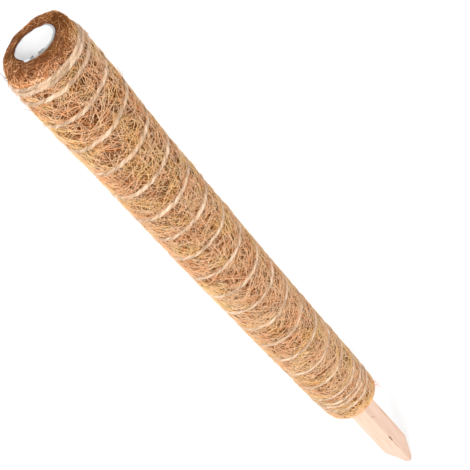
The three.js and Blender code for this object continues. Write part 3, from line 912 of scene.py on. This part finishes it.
def wooden_stake():
    """The square stake with its sawn point.

    Round the stake, each face's points crowd towards the corners by a sine. A corner is rounded by taking
    the nearest point of a smaller square and going out from it by the rounding. Up the stake, the half
    width is constant above the point and shrinks evenly to the blunt tip below it. The grain is a fine
    ripple across each face that drifts slowly along it. The crack is a groove beside the front corner,
    wide and hooked at its upper end and thin below. The tones hold faint streaks, the crack darkened as
    painted shade, a slanting knot line, a dark streak and a pale worn patch on the front face, a painted
    shade that darkens the whole front face a touch, and the dark tip."""
    step = (np.arange(STAKE_FACE_STEPS) + 0.5) / STAKE_FACE_STEPS * 2 - 1
    across = np.sin(step * math.pi / 2)
    face = np.stack([np.ones_like(across), across], axis=-1)
    beside_face = np.stack([-face[:, 1], face[:, 0]], axis=-1)
    section = np.concatenate([face, beside_face, -face, -beside_face])
    seen = np.arange(STAKE_LOW[2], STAKE_SEEN_TOP, STAKE_SEEN_STEP)
    hidden = np.arange(STAKE_HIDDEN_LOW, STAKE_HIGH[2], STAKE_HIDDEN_STEP)
    height = np.concatenate([seen, hidden, STAKE_HIGH[2:]])
    taper = np.clip((height - STAKE_LOW[2]) / POINT_LENGTH, 0, 1)
    half = (POINT_HALF + (STAKE_HALF - POINT_HALF) * taper)[:, None]
    square = section * half[..., None]
    arris = np.minimum(STAKE_ARRIS, POINT_ARRIS_SHARE * half)[..., None]
    inner = np.clip(square, arris - half[..., None], half[..., None] - arris)
    out = unit(square - inner)
    rounded = inner + arris * out + POINT_SHIFT * (1 - taper)[:, None, None]
    z = np.broadcast_to(height[:, None], square.shape[:2])
    on_x_face = np.abs(section[:, 0]) > np.abs(section[:, 1])
    flat = np.where(on_x_face, square[..., 1], square[..., 0])
    grain_across = GRAIN_ACROSS * flat + GRAIN_DRIFT * z
    grain = ripple(grain_across, GRAIN_ALONG * z, seed=61, waves=16, shortest=0.5, longest=1.6)
    front = (on_x_face & (section[:, 0] > 0)) * np.ones_like(z)
    from_top = np.clip(CRACK_TOP - z, 0, None)
    run = np.clip(from_top / CRACK_LENGTH, 0, 1)
    head = smooth_step((CRACK_HEAD_END - run) / CRACK_HEAD_FADE)
    widening = CRACK_TAIL_SHARE + (1 - CRACK_TAIL_SHARE) * head
    opening = np.minimum(smooth_step(run / CRACK_OPENING), widening)
    opening = CRACK_WIDTH * opening * smooth_step((1 - run) / CRACK_CLOSING) + CRACK_LEAST_WIDTH
    hook = CRACK_HOOK * np.exp(-from_top / CRACK_HOOK_REACH) * np.cos(CRACK_HOOK_TURN * from_top)
    wobble = sum(size * np.sin(z / length) for size, length in CRACK_WOBBLES)
    middle = CRACK_FROM_CORNER - half + hook + wobble
    crack = front * (run > 0) * (run < 1) * np.clip(1 - np.abs(flat - middle) / opening, 0, 1)
    groove = CRACK_DEPTH * opening / CRACK_WIDTH * crack
    points = rounded + (GRAIN_DEPTH * grain - groove)[..., None] * out
    points = np.concatenate([points, z[..., None]], axis=-1)
    worn = WORN_TONE * spot(flat, z, WORN_PLACE, WORN_SIZE)
    knot = KNOT_TONE * spot(flat + KNOT_SLANT * (z - KNOT_PLACE[1]), z, KNOT_PLACE, KNOT_SIZE)
    streak = STREAK_DARKNESS * spot(flat, z, STREAK_PLACE, STREAK_SIZE)
    tip = np.clip((STAKE_LOW[2] + TIP_LENGTH - z) / TIP_LENGTH, 0, 1)
    streaks_across = STREAKS_ACROSS * flat
    streaks = ripple(streaks_across, STREAKS_ALONG * z, seed=62, waves=9, shortest=2, longest=7)
    # The last term also darkens the whole front face a touch: painted shade.
    tones = PLAIN_TONE + STREAKS_TONE * streaks + front * (worn - knot - streak + FRONT_FACE_SHADE)
    # The darkening in the crack is painted shade.
    tones = tones - (CRACK_TAIL_SHADE + CRACK_HEAD_SHADE * head) * crack**CRACK_SOFTNESS - TIP_TONE * tip
    rows, columns = z.shape
    quads, places = grid_faces(rows, columns, False, True)
    middles = points[[0, -1]].mean(axis=1)
    ring = np.arange(columns)
    beside = (ring + 1) % columns
    count = rows * columns
    top_first = count - columns
    low_fan = np.stack([np.full(columns, count), beside, ring], axis=-1)
    high_fan = np.stack([np.full(columns, count + 1), top_first + ring, top_first + beside], axis=-1)
    fan_places = np.zeros((columns, 3, 2)) + np.array([[0, 0], [FAN_PLACE, 0], [0, FAN_PLACE]])
    all_points = np.concatenate([points.reshape(-1, 3), middles])
    all_tones = np.concatenate([tones.ravel(), [PLAIN_TONE, PLAIN_TONE]])
    all_faces = [quads, low_fan, high_fan]
    return put_piece("stake", all_points, all_faces, [places, fan_places, fan_places], all_tones)


# The tube
TUBE_COLUMNS = 360
TUBE_WALL_ROWS = 40
TUBE_WALL_INSETS = (2.2, 1.0)
RIM_ROUND = 0.25
RIM_ROUND_STEPS = 5
RIM_FLAT_STEPS = 6
RIM_UNEVEN = 0.08
RIM_UNEVEN_REACH = 2
BURR_HEIGHT = 0.95
BURR_REACH = 0.75
BURR_FADE = 0.5
BURR_NOTCHES = 0.45
# The burrs' grey, the rim top's slight darkening and the grey over the rim's outer part and the outside are
# painted shade.
BURR_SHADE = 0.9
BURR_SHADE_GAIN = 4
RIM_SHADE_ANGLE = math.radians(15)
RIM_SHADE_SHARE = 0.5
RIM_SHADE_CHANGE = 2
OUTER_RIM_SHADE = 0.68
OUTER_SHADE_WIDTH = 0.75
OUTER_SHADE_MORE_WIDTH = 0.5
OUTER_SHADE_FADE = 0.4
RIM_TOP_SHADE = 0.2
# Each burr on the tube's sawn rim: its middle and half its width
RIM_BURRS = ((math.radians(-43), math.radians(12)), (math.radians(-70), math.radians(7)))


def rim_corner(radius, height, side, upright, turn):
    """A quarter circle in the tube's section round a middle, from upright to sideways as it turns."""
    out = RIM_ROUND * np.stack([side * np.sin(turn), upright * np.cos(turn)], axis=-1)
    return np.array([radius, height]) + out


def core_tube():
    """The tube as a lathe: up the bore, over the rounded top rim, down the outside and under the bottom
    rim. The top rim is a little uneven, as a sawn plastic edge is, with ragged burrs, each a parabola
    notched by two sine waves. The burrs are painted grey as shade, the rim's top is painted a little
    darker as shade, and the rim's outer part and the outside are painted grey as shade."""
    outer = TUBE_RADIUS
    bore = TUBE_RADIUS - TUBE_WALL
    low = RIM_ROUND
    top = SLEEVE_LENGTH - RIM_ROUND
    first_inset, last_inset = TUBE_WALL_INSETS
    wall = np.linspace(low, SLEEVE_LENGTH - first_inset, TUBE_WALL_ROWS)
    wall = np.append(wall, [SLEEVE_LENGTH - last_inset, top])
    quarter = np.linspace(0, math.pi / 2, RIM_ROUND_STEPS)
    flat = np.linspace(bore + RIM_ROUND, outer - RIM_ROUND, RIM_FLAT_STEPS)[1:-1]
    profile = np.concatenate(
        [
            np.stack([np.full_like(wall, bore), wall], axis=-1),
            rim_corner(bore + RIM_ROUND, top, -1, 1, quarter[::-1])[1:],
            np.stack([flat, np.full_like(flat, SLEEVE_LENGTH)], axis=-1),
            rim_corner(outer - RIM_ROUND, top, 1, 1, quarter),
            np.stack([np.full_like(wall, outer), wall[::-1]], axis=-1)[1:],
            rim_corner(outer - RIM_ROUND, low, 1, -1, quarter[::-1])[1:],
            rim_corner(bore + RIM_ROUND, low, -1, -1, quarter)[:-1],
        ]
    )
    angle = np.arange(TUBE_COLUMNS) * FULL_TURN / TUBE_COLUMNS
    radius = profile[:, :1] + 0 * angle
    height = profile[:, 1:] + 0 * angle
    near_top = np.clip((height - SLEEVE_LENGTH + RIM_UNEVEN_REACH) / RIM_UNEVEN_REACH, 0, 1)
    height = height + near_top * RIM_UNEVEN * (np.sin(5 * angle + 1) + np.sin(11 * angle) - 2)
    burrs = sum(np.clip(1 - (turn_between(angle, place) / half) ** 2, 0, 1) for place, half in RIM_BURRS)
    notches = BURR_NOTCHES * np.sin(29 * angle + 1) * np.sin(67 * angle + 2)
    rough = burrs * (1 - BURR_NOTCHES + notches)
    on_rim = smooth_step((height - SLEEVE_LENGTH + BURR_REACH) / BURR_FADE)
    points = on_pole(radius, angle, height + BURR_HEIGHT * rough * on_rim)
    # Painted shade: grey over the rim's outer part and the outside, a little over the rim's top, and on the
    # burrs.
    right = smooth_step(RIM_SHADE_SHARE + RIM_SHADE_CHANGE * np.cos(angle - RIM_SHADE_ANGLE))
    painted_rim_shade = OUTER_RIM_SHADE * smooth_step((radius - outer + OUTER_SHADE_WIDTH + OUTER_SHADE_MORE_WIDTH * right) / OUTER_SHADE_FADE)
    painted_rim_shade = np.maximum(painted_rim_shade, RIM_TOP_SHADE * on_rim)
    tones = PLAIN_TONE * (1 - np.maximum(BURR_SHADE * smooth_step(BURR_SHADE_GAIN * rough) * on_rim, painted_rim_shade))
    quads, places = grid_faces(len(profile), TUBE_COLUMNS, True, True)
    return put_piece("tube", points.reshape(-1, 3), [quads[:, ::-1]], [places[:, ::-1]], tones.ravel())


# Materials
def new_material(name, values):
    """A node material with one Principled shader, whose sockets get the given values."""
    material = bpy.data.materials.new(name)
    material.use_nodes = True
    tree = material.node_tree
    tree.nodes.clear()
    output = tree.nodes.new("ShaderNodeOutputMaterial")
    shader = tree.nodes.new("ShaderNodeBsdfPrincipled")
    tree.links.new(shader.outputs["BSDF"], output.inputs["Surface"])
    for socket, value in values.items():
        shader.inputs[socket].default_value = value
    return material, tree, shader


def colour_ramp(tree, factor, stops):
    """A colour ramp over (position, colour) stops, read at a factor."""
    ramp = tree.nodes.new("ShaderNodeValToRGB")
    elements = ramp.color_ramp.elements
    while len(elements) < len(stops):
        elements.new(0.5)
    for element, (position, colour) in zip(elements, stops):
        element.position = position
        element.color = (*colour, 1)
    tree.links.new(factor, ramp.inputs["Fac"])
    return ramp.outputs["Color"]


def noise(tree, scale, detail, stretch=(1, 1, 1)):
    """Noise on Object coordinates, stretched along the axes, with its size given per metre."""
    place = tree.nodes.new("ShaderNodeTexCoord")
    mapping = tree.nodes.new("ShaderNodeMapping")
    mapping.inputs["Scale"].default_value = stretch
    texture = tree.nodes.new("ShaderNodeTexNoise")
    texture.inputs["Scale"].default_value = scale
    texture.inputs["Detail"].default_value = detail
    tree.links.new(place.outputs["Object"], mapping.inputs["Vector"])
    tree.links.new(mapping.outputs["Vector"], texture.inputs["Vector"])
    return texture.outputs["Fac"]


def math_node(tree, operation, first, second, third=None):
    """A Math node on sockets or numbers."""
    node = tree.nodes.new("ShaderNodeMath")
    node.operation = operation
    for socket, value in zip(node.inputs, (first, second, third)):
        if isinstance(value, (int, float)):
            socket.default_value = value
        elif value is not None:
            tree.links.new(value, socket)
    return node.outputs["Value"]


def bump(tree, shader, height, strength, distance=0.0001):
    """A bump of a height socket on a shader, its distance in metres."""
    node = tree.nodes.new("ShaderNodeBump")
    node.inputs["Strength"].default_value = strength
    node.inputs["Distance"].default_value = distance
    tree.links.new(height, node.inputs["Height"])
    tree.links.new(node.outputs["Normal"], shader.inputs["Normal"])


def tone_of(tree):
    """The tone that each point of the piece carries."""
    node = tree.nodes.new("ShaderNodeAttribute")
    node.attribute_name = "tone"
    return node.outputs["Fac"]


def multiply(tree, first, second):
    """The product of two colours."""
    node = tree.nodes.new("ShaderNodeMix")
    node.data_type = "RGBA"
    node.blend_type = "MULTIPLY"
    node.inputs["Factor"].default_value = 1.0
    colours = [socket for socket in node.inputs if socket.type == "RGBA"]
    tree.links.new(first, colours[0])
    tree.links.new(second, colours[1])
    return next(socket for socket in node.outputs if socket.type == "RGBA")


# Colours of a fibre from its darkest tone to its lightest: on the sleeve, on its top end and deep in it.
# The deep colours are darker and redder: painted shade of the pits between the fibres.
SURFACE_COLOURS = (
    (0.0, (0.24, 0.080, 0.022)),
    (0.3, (0.70, 0.305, 0.108)),
    (0.48, (0.99, 0.525, 0.243)),
    (1.0, (1.0, 0.755, 0.495)),
)
END_COLOURS = (
    (0.0, (0.235, 0.098, 0.043)),
    (0.3, (0.62, 0.32, 0.155)),
    (0.48, (0.90, 0.53, 0.29)),
    (1.0, (1.0, 0.77, 0.51)),
)
DEEP_SHADE_COLOURS = (
    (0.0, (0.20, 0.045, 0.006)),
    (0.3, (0.48, 0.16, 0.036)),
    (0.6, (0.78, 0.36, 0.12)),
    (1.0, (0.95, 0.60, 0.30)),
)
FLECK_LEAST_GAIN = 0.53
FLECK_LIFT = 0.5
FLECK_SHIFT = -0.235
FINE_PATCHES = 0.3


def coir_material(name, colours):
    """Coconut fibre: each fibre's tone runs from dark brown to pale straw, with finer flecks on it, and
    whole patches of the mat are redder or more yellow."""
    material, tree, shader = new_material(name, {"Roughness": 0.6, "Specular IOR Level": 0.04})
    flecks = noise(tree, scale=1800, detail=0)
    gain = math_node(tree, "ADD", flecks, FLECK_LEAST_GAIN)
    shift = math_node(tree, "MULTIPLY_ADD", flecks, FLECK_LIFT, FLECK_SHIFT)
    tone = math_node(tree, "MULTIPLY_ADD", tone_of(tree), gain, shift)
    broad = noise(tree, scale=70, detail=2)
    fine = noise(tree, scale=300, detail=2)
    patches = math_node(tree, "MULTIPLY_ADD", fine, FINE_PATCHES, broad)
    hue = ((0.51, (1.0, 0.84, 0.74)), (0.64, (1.0, 0.93, 0.90)), (0.80, (1.0, 0.93, 0.72)))
    colour = multiply(tree, colour_ramp(tree, tone, colours), colour_ramp(tree, patches, hue))
    tree.links.new(colour, shader.inputs["Base Color"])
    bump(tree, shader, noise(tree, scale=2500, detail=2), strength=0.4)
    return material


def coir_bed_material():
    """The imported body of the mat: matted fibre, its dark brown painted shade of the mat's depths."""
    material, tree, shader = new_material("coir_packed_shade", {"Roughness": 0.9, "Specular IOR Level": 0.1})
    # The bed's dark brown is painted shade of the mat's depths.
    stops = ((0.3, (0.17, 0.04, 0.006)), (0.7, (0.34, 0.11, 0.025)))
    colour = colour_ramp(tree, noise(tree, scale=900, detail=4), stops)
    tree.links.new(colour, shader.inputs["Base Color"])
    bump(tree, shader, noise(tree, scale=1800, detail=3), strength=0.8, distance=0.0004)
    return material


TWINE_FLECKS = 0.7
TWINE_FLECK_SHIFT = 0.3


def twine_material():
    """Soft cream twine: each ply's tone with finer flecks on it, and a soft sheen."""
    values = {"Roughness": 0.85, "Specular IOR Level": 0.15, "Sheen Weight": 0.35}
    material, tree, shader = new_material("cream_twine", values)
    flecks = noise(tree, scale=900, detail=3)
    tone = math_node(tree, "MULTIPLY_ADD", flecks, TWINE_FLECKS, tone_of(tree))
    tone = math_node(tree, "SUBTRACT", tone, TWINE_FLECK_SHIFT)
    stops = ((0.0, (0.46, 0.28, 0.155)), (0.5, (0.72, 0.49, 0.32)), (1.0, (0.90, 0.68, 0.49)))
    tree.links.new(colour_ramp(tree, tone, stops), shader.inputs["Base Color"])
    bump(tree, shader, noise(tree, scale=3000, detail=2), strength=0.5)
    return material


FINE_GRAIN = 0.45


def stake_material():
    """Pale sawn softwood: grain that runs along the stake in faint darker lines. The tone darkens it in the
    crack as painted shade, in the knot line, the dark streak and the tip, and a touch over the whole
    front face as painted shade, and pales it in the worn patch."""
    material, tree, shader = new_material("pale_softwood", {"Roughness": 0.7, "Specular IOR Level": 0.25})
    broad = noise(tree, scale=260, detail=3, stretch=(1, 1, 0.05))
    fine = noise(tree, scale=1500, detail=3, stretch=(1, 1, 0.04))
    grain = math_node(tree, "MULTIPLY_ADD", fine, FINE_GRAIN, broad)
    stops = ((0.45, (0.81, 0.52, 0.378)), (0.62, (0.895, 0.612, 0.468)), (0.9, (0.915, 0.665, 0.538)))
    shade = (
        (0.0, (0.18, 0.11, 0.08)),
        (0.25, (0.80, 0.70, 0.62)),
        (0.5, (0.96, 0.955, 0.95)),
        (0.8, (1.0, 1.04, 1.06)),
    )
    colour = multiply(tree, colour_ramp(tree, grain, stops), colour_ramp(tree, tone_of(tree), shade))
    tree.links.new(colour, shader.inputs["Base Color"])
    bump(tree, shader, fine, strength=0.3)
    return material


def tube_material():
    """White plastic with a faint unevenness, painted grey as shade on the burrs and the edge of the sawn
    rim.
    """
    material, tree, shader = new_material("white_plastic", {"Roughness": 0.42})
    stops = ((0.3, (0.98, 0.98, 0.98)), (0.7, (0.99, 0.99, 0.99)))
    # The grey end of this ramp paints shade on the burrs, the rim and the outside.
    rim_shade_stops = ((0.05, (0.2, 0.2, 0.195)), (0.45, (1.0, 1.0, 1.0)))
    white = colour_ramp(tree, noise(tree, scale=180, detail=3, stretch=(1, 1, 0.2)), stops)
    colour = multiply(tree, white, colour_ramp(tree, tone_of(tree), rim_shade_stops))
    tree.links.new(colour, shader.inputs["Base Color"])
    bump(tree, shader, noise(tree, scale=900, detail=2), strength=0.1)
    return material


def nail_material():
    """Dull galvanised steel, lighter and darker in small patches."""
    material, tree, shader = new_material("galvanised_steel", {"Metallic": 1.0, "Roughness": 0.45})
    stops = ((0.35, (0.42, 0.43, 0.44)), (0.65, (0.60, 0.61, 0.62)))
    colour = colour_ramp(tree, noise(tree, scale=1200, detail=3), stops)
    tree.links.new(colour, shader.inputs["Base Color"])
    bump(tree, shader, noise(tree, scale=2500, detail=2), strength=0.15)
    return material


# Putting it together
def dress(piece, material, node):
    """Gives a piece its material, and lets it ride on the pole in place of its CAD node."""
    piece.data.materials.append(material)
    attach(piece, "root")
    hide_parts(node)


coir = coir_material("coir_fibre", SURFACE_COLOURS)
# The deep layer's darker, redder colours are painted shade of the pits between the fibres.
shaded_deep_coir = coir_material("coir_deep_shaded_fibre", DEEP_SHADE_COLOURS)
end_coir = coir_material("coir_end_fibre", END_COLOURS)
dress(coir_bed(), coir_bed_material(), "coir_mat")
dress(coir_layer(*FIBRE_LAYERS[0]), shaded_deep_coir, "coir_mat")
for layer in FIBRE_LAYERS[1:]:
    dress(coir_layer(*layer), coir, "coir_mat")
dress(coir_end("coir_top_fibres", 21, TOP_SCATTER, False), end_coir, "coir_mat")
dress(coir_end("coir_foot_fibres", 22, FOOT_SCATTER, True), coir, "coir_mat")
for loose_fibres in (coir_strays, coir_tufts, coir_slit_shade, coir_bridging):
    dress(loose_fibres(), coir, "coir_mat")

twine = twine_material()
route = twine_path()
dress(twine_plies(route), twine, "winding_twine")
dress(twine_fuzz(route), twine, "winding_twine")
dress(wooden_stake(), stake_material(), "wooden_stake")
dress(core_tube(), tube_material(), "core_tube")

steel = nail_material()
for nail in ("stake_nail_lower", "stake_nail_upper"):
    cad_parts[nail].data.materials.clear()
    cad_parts[nail].data.materials.append(steel)

# Floor, light and camera
FLOOR_HALF = 3000
FLOOR_GAP = 0.3
FLOOR_GLOW = 0.16
SKY_LIGHT = 0.88
CAMERA_AZIMUTH = math.radians(45)
CAMERA_DISTANCE = 0.36375
CAMERA_ASIDE = -0.0003
CAMERA_HEIGHT = 0.48449
CAMERA_YAW = math.radians(1.793)
CAMERA_PITCH = math.radians(41.979)
CAMERA_ROLL = math.radians(-40.849)
CAMERA_LENS = 75.563
SENSOR_WIDTH = 36
TOWARDS_CAMERA = Vector((math.sin(CAMERA_AZIMUTH), -math.cos(CAMERA_AZIMUTH), 0))
CAMERA_RIGHT = Vector((math.cos(CAMERA_AZIMUTH), math.sin(CAMERA_AZIMUTH), 0))
UP = Vector((0, 0, 1))
# Each lamp: its name, how far it stands towards the camera, to the camera's right and up, its size, its
# power and its colour
LAMPS = (
    ("key", (1.0, -0.45, 1.05), 0.45, 9.2, (1, 1, 1)),
    ("fill", (0.75, -0.95, 0.3), 0.6, 1.8, (0.65, 0.87, 1.0)),
)


def stand_at(near, right, up):
    """The place in metres that lies so far towards the camera, to its right and up."""
    return TOWARDS_CAMERA * near + CAMERA_RIGHT * right + UP * up


def seen_by_eye(tree):
    """1 for what the camera sees directly, in a reflection or through glass, 0 for light on surfaces."""
    path = tree.nodes.new("ShaderNodeLightPath")
    seen = math_node(tree, "MAXIMUM", path.outputs["Is Camera Ray"], path.outputs["Is Glossy Ray"])
    return math_node(tree, "MAXIMUM", seen, path.outputs["Is Transmission Ray"])


def floor():
    """A white square floor under the stake's tip. It takes the pole's shadow, and glows a little for the
    eye so that it comes out white."""
    corners = np.array([(-1, -1), (1, -1), (1, 1), (-1, 1)])
    points = np.concatenate([corners * FLOOR_HALF, np.full((4, 1), STAKE_LOW[2] - FLOOR_GAP)], axis=1)
    piece = put_mesh("floor", points, [np.array([[0, 1, 2, 3]])], [(corners[None] + 1) / 2])
    values = {"Base Color": (0.9, 0.9, 0.9, 1), "Roughness": 0.9, "Emission Color": (1, 1, 1, 1)}
    material, tree, shader = new_material("white_floor", values)
    glow = math_node(tree, "MULTIPLY", seen_by_eye(tree), FLOOR_GLOW)
    tree.links.new(glow, shader.inputs["Emission Strength"])
    piece.data.materials.append(material)


def sky():
    """A white surround: full white to the eye, a soft even light on the object."""
    world = bpy.data.worlds.new("white_surround")
    bpy.context.scene.world = world
    world.use_nodes = True
    tree = world.node_tree
    background = tree.nodes["Background"]
    background.inputs["Color"].default_value = (1, 1, 1, 1)
    strength = math_node(tree, "MULTIPLY_ADD", seen_by_eye(tree), 1 - SKY_LIGHT, SKY_LIGHT)
    tree.links.new(strength, background.inputs["Strength"])


def soft_lamp(name, place, size, power, colour):
    """A square area lamp at a place in metres, turned to the middle of the sleeve."""
    light = bpy.data.lights.new(name, "AREA")
    light.size = size
    light.energy = power
    light.color = colour
    lamp = bpy.data.objects.new(name, light)
    aim = UP * (SLEEVE_LENGTH / 2 * MM) - place
    lamp.matrix_world = Matrix.Translation(place) @ aim.to_track_quat("-Z", "Y").to_matrix().to_4x4()
    bpy.context.scene.collection.objects.link(lamp)


def camera():
    """The photograph's camera: its distance, height, turn, tilt and roll were fitted to the sleeve's
    edges, the turns of twine, the bore and the stake's point."""
    data = bpy.data.cameras.new("camera")
    data.sensor_width = SENSOR_WIDTH
    data.lens = CAMERA_LENS
    view = bpy.data.objects.new("camera", data)
    place = stand_at(CAMERA_DISTANCE, CAMERA_ASIDE, CAMERA_HEIGHT)
    turn = Matrix.Rotation(CAMERA_AZIMUTH - CAMERA_YAW, 4, "Z")
    tilt = Matrix.Rotation(math.pi / 2 - CAMERA_PITCH, 4, "X")
    view.matrix_world = Matrix.Translation(place) @ turn @ tilt @ Matrix.Rotation(CAMERA_ROLL, 4, "Z")
    bpy.context.scene.collection.objects.link(view)
    bpy.context.scene.camera = view


floor()
sky()
for lamp_name, lamp_place, lamp_size, lamp_power, lamp_colour in LAMPS:
    soft_lamp(lamp_name, stand_at(*lamp_place), lamp_size, lamp_power, lamp_colour)
camera()
bpy.context.scene.view_settings.view_transform = "Standard"
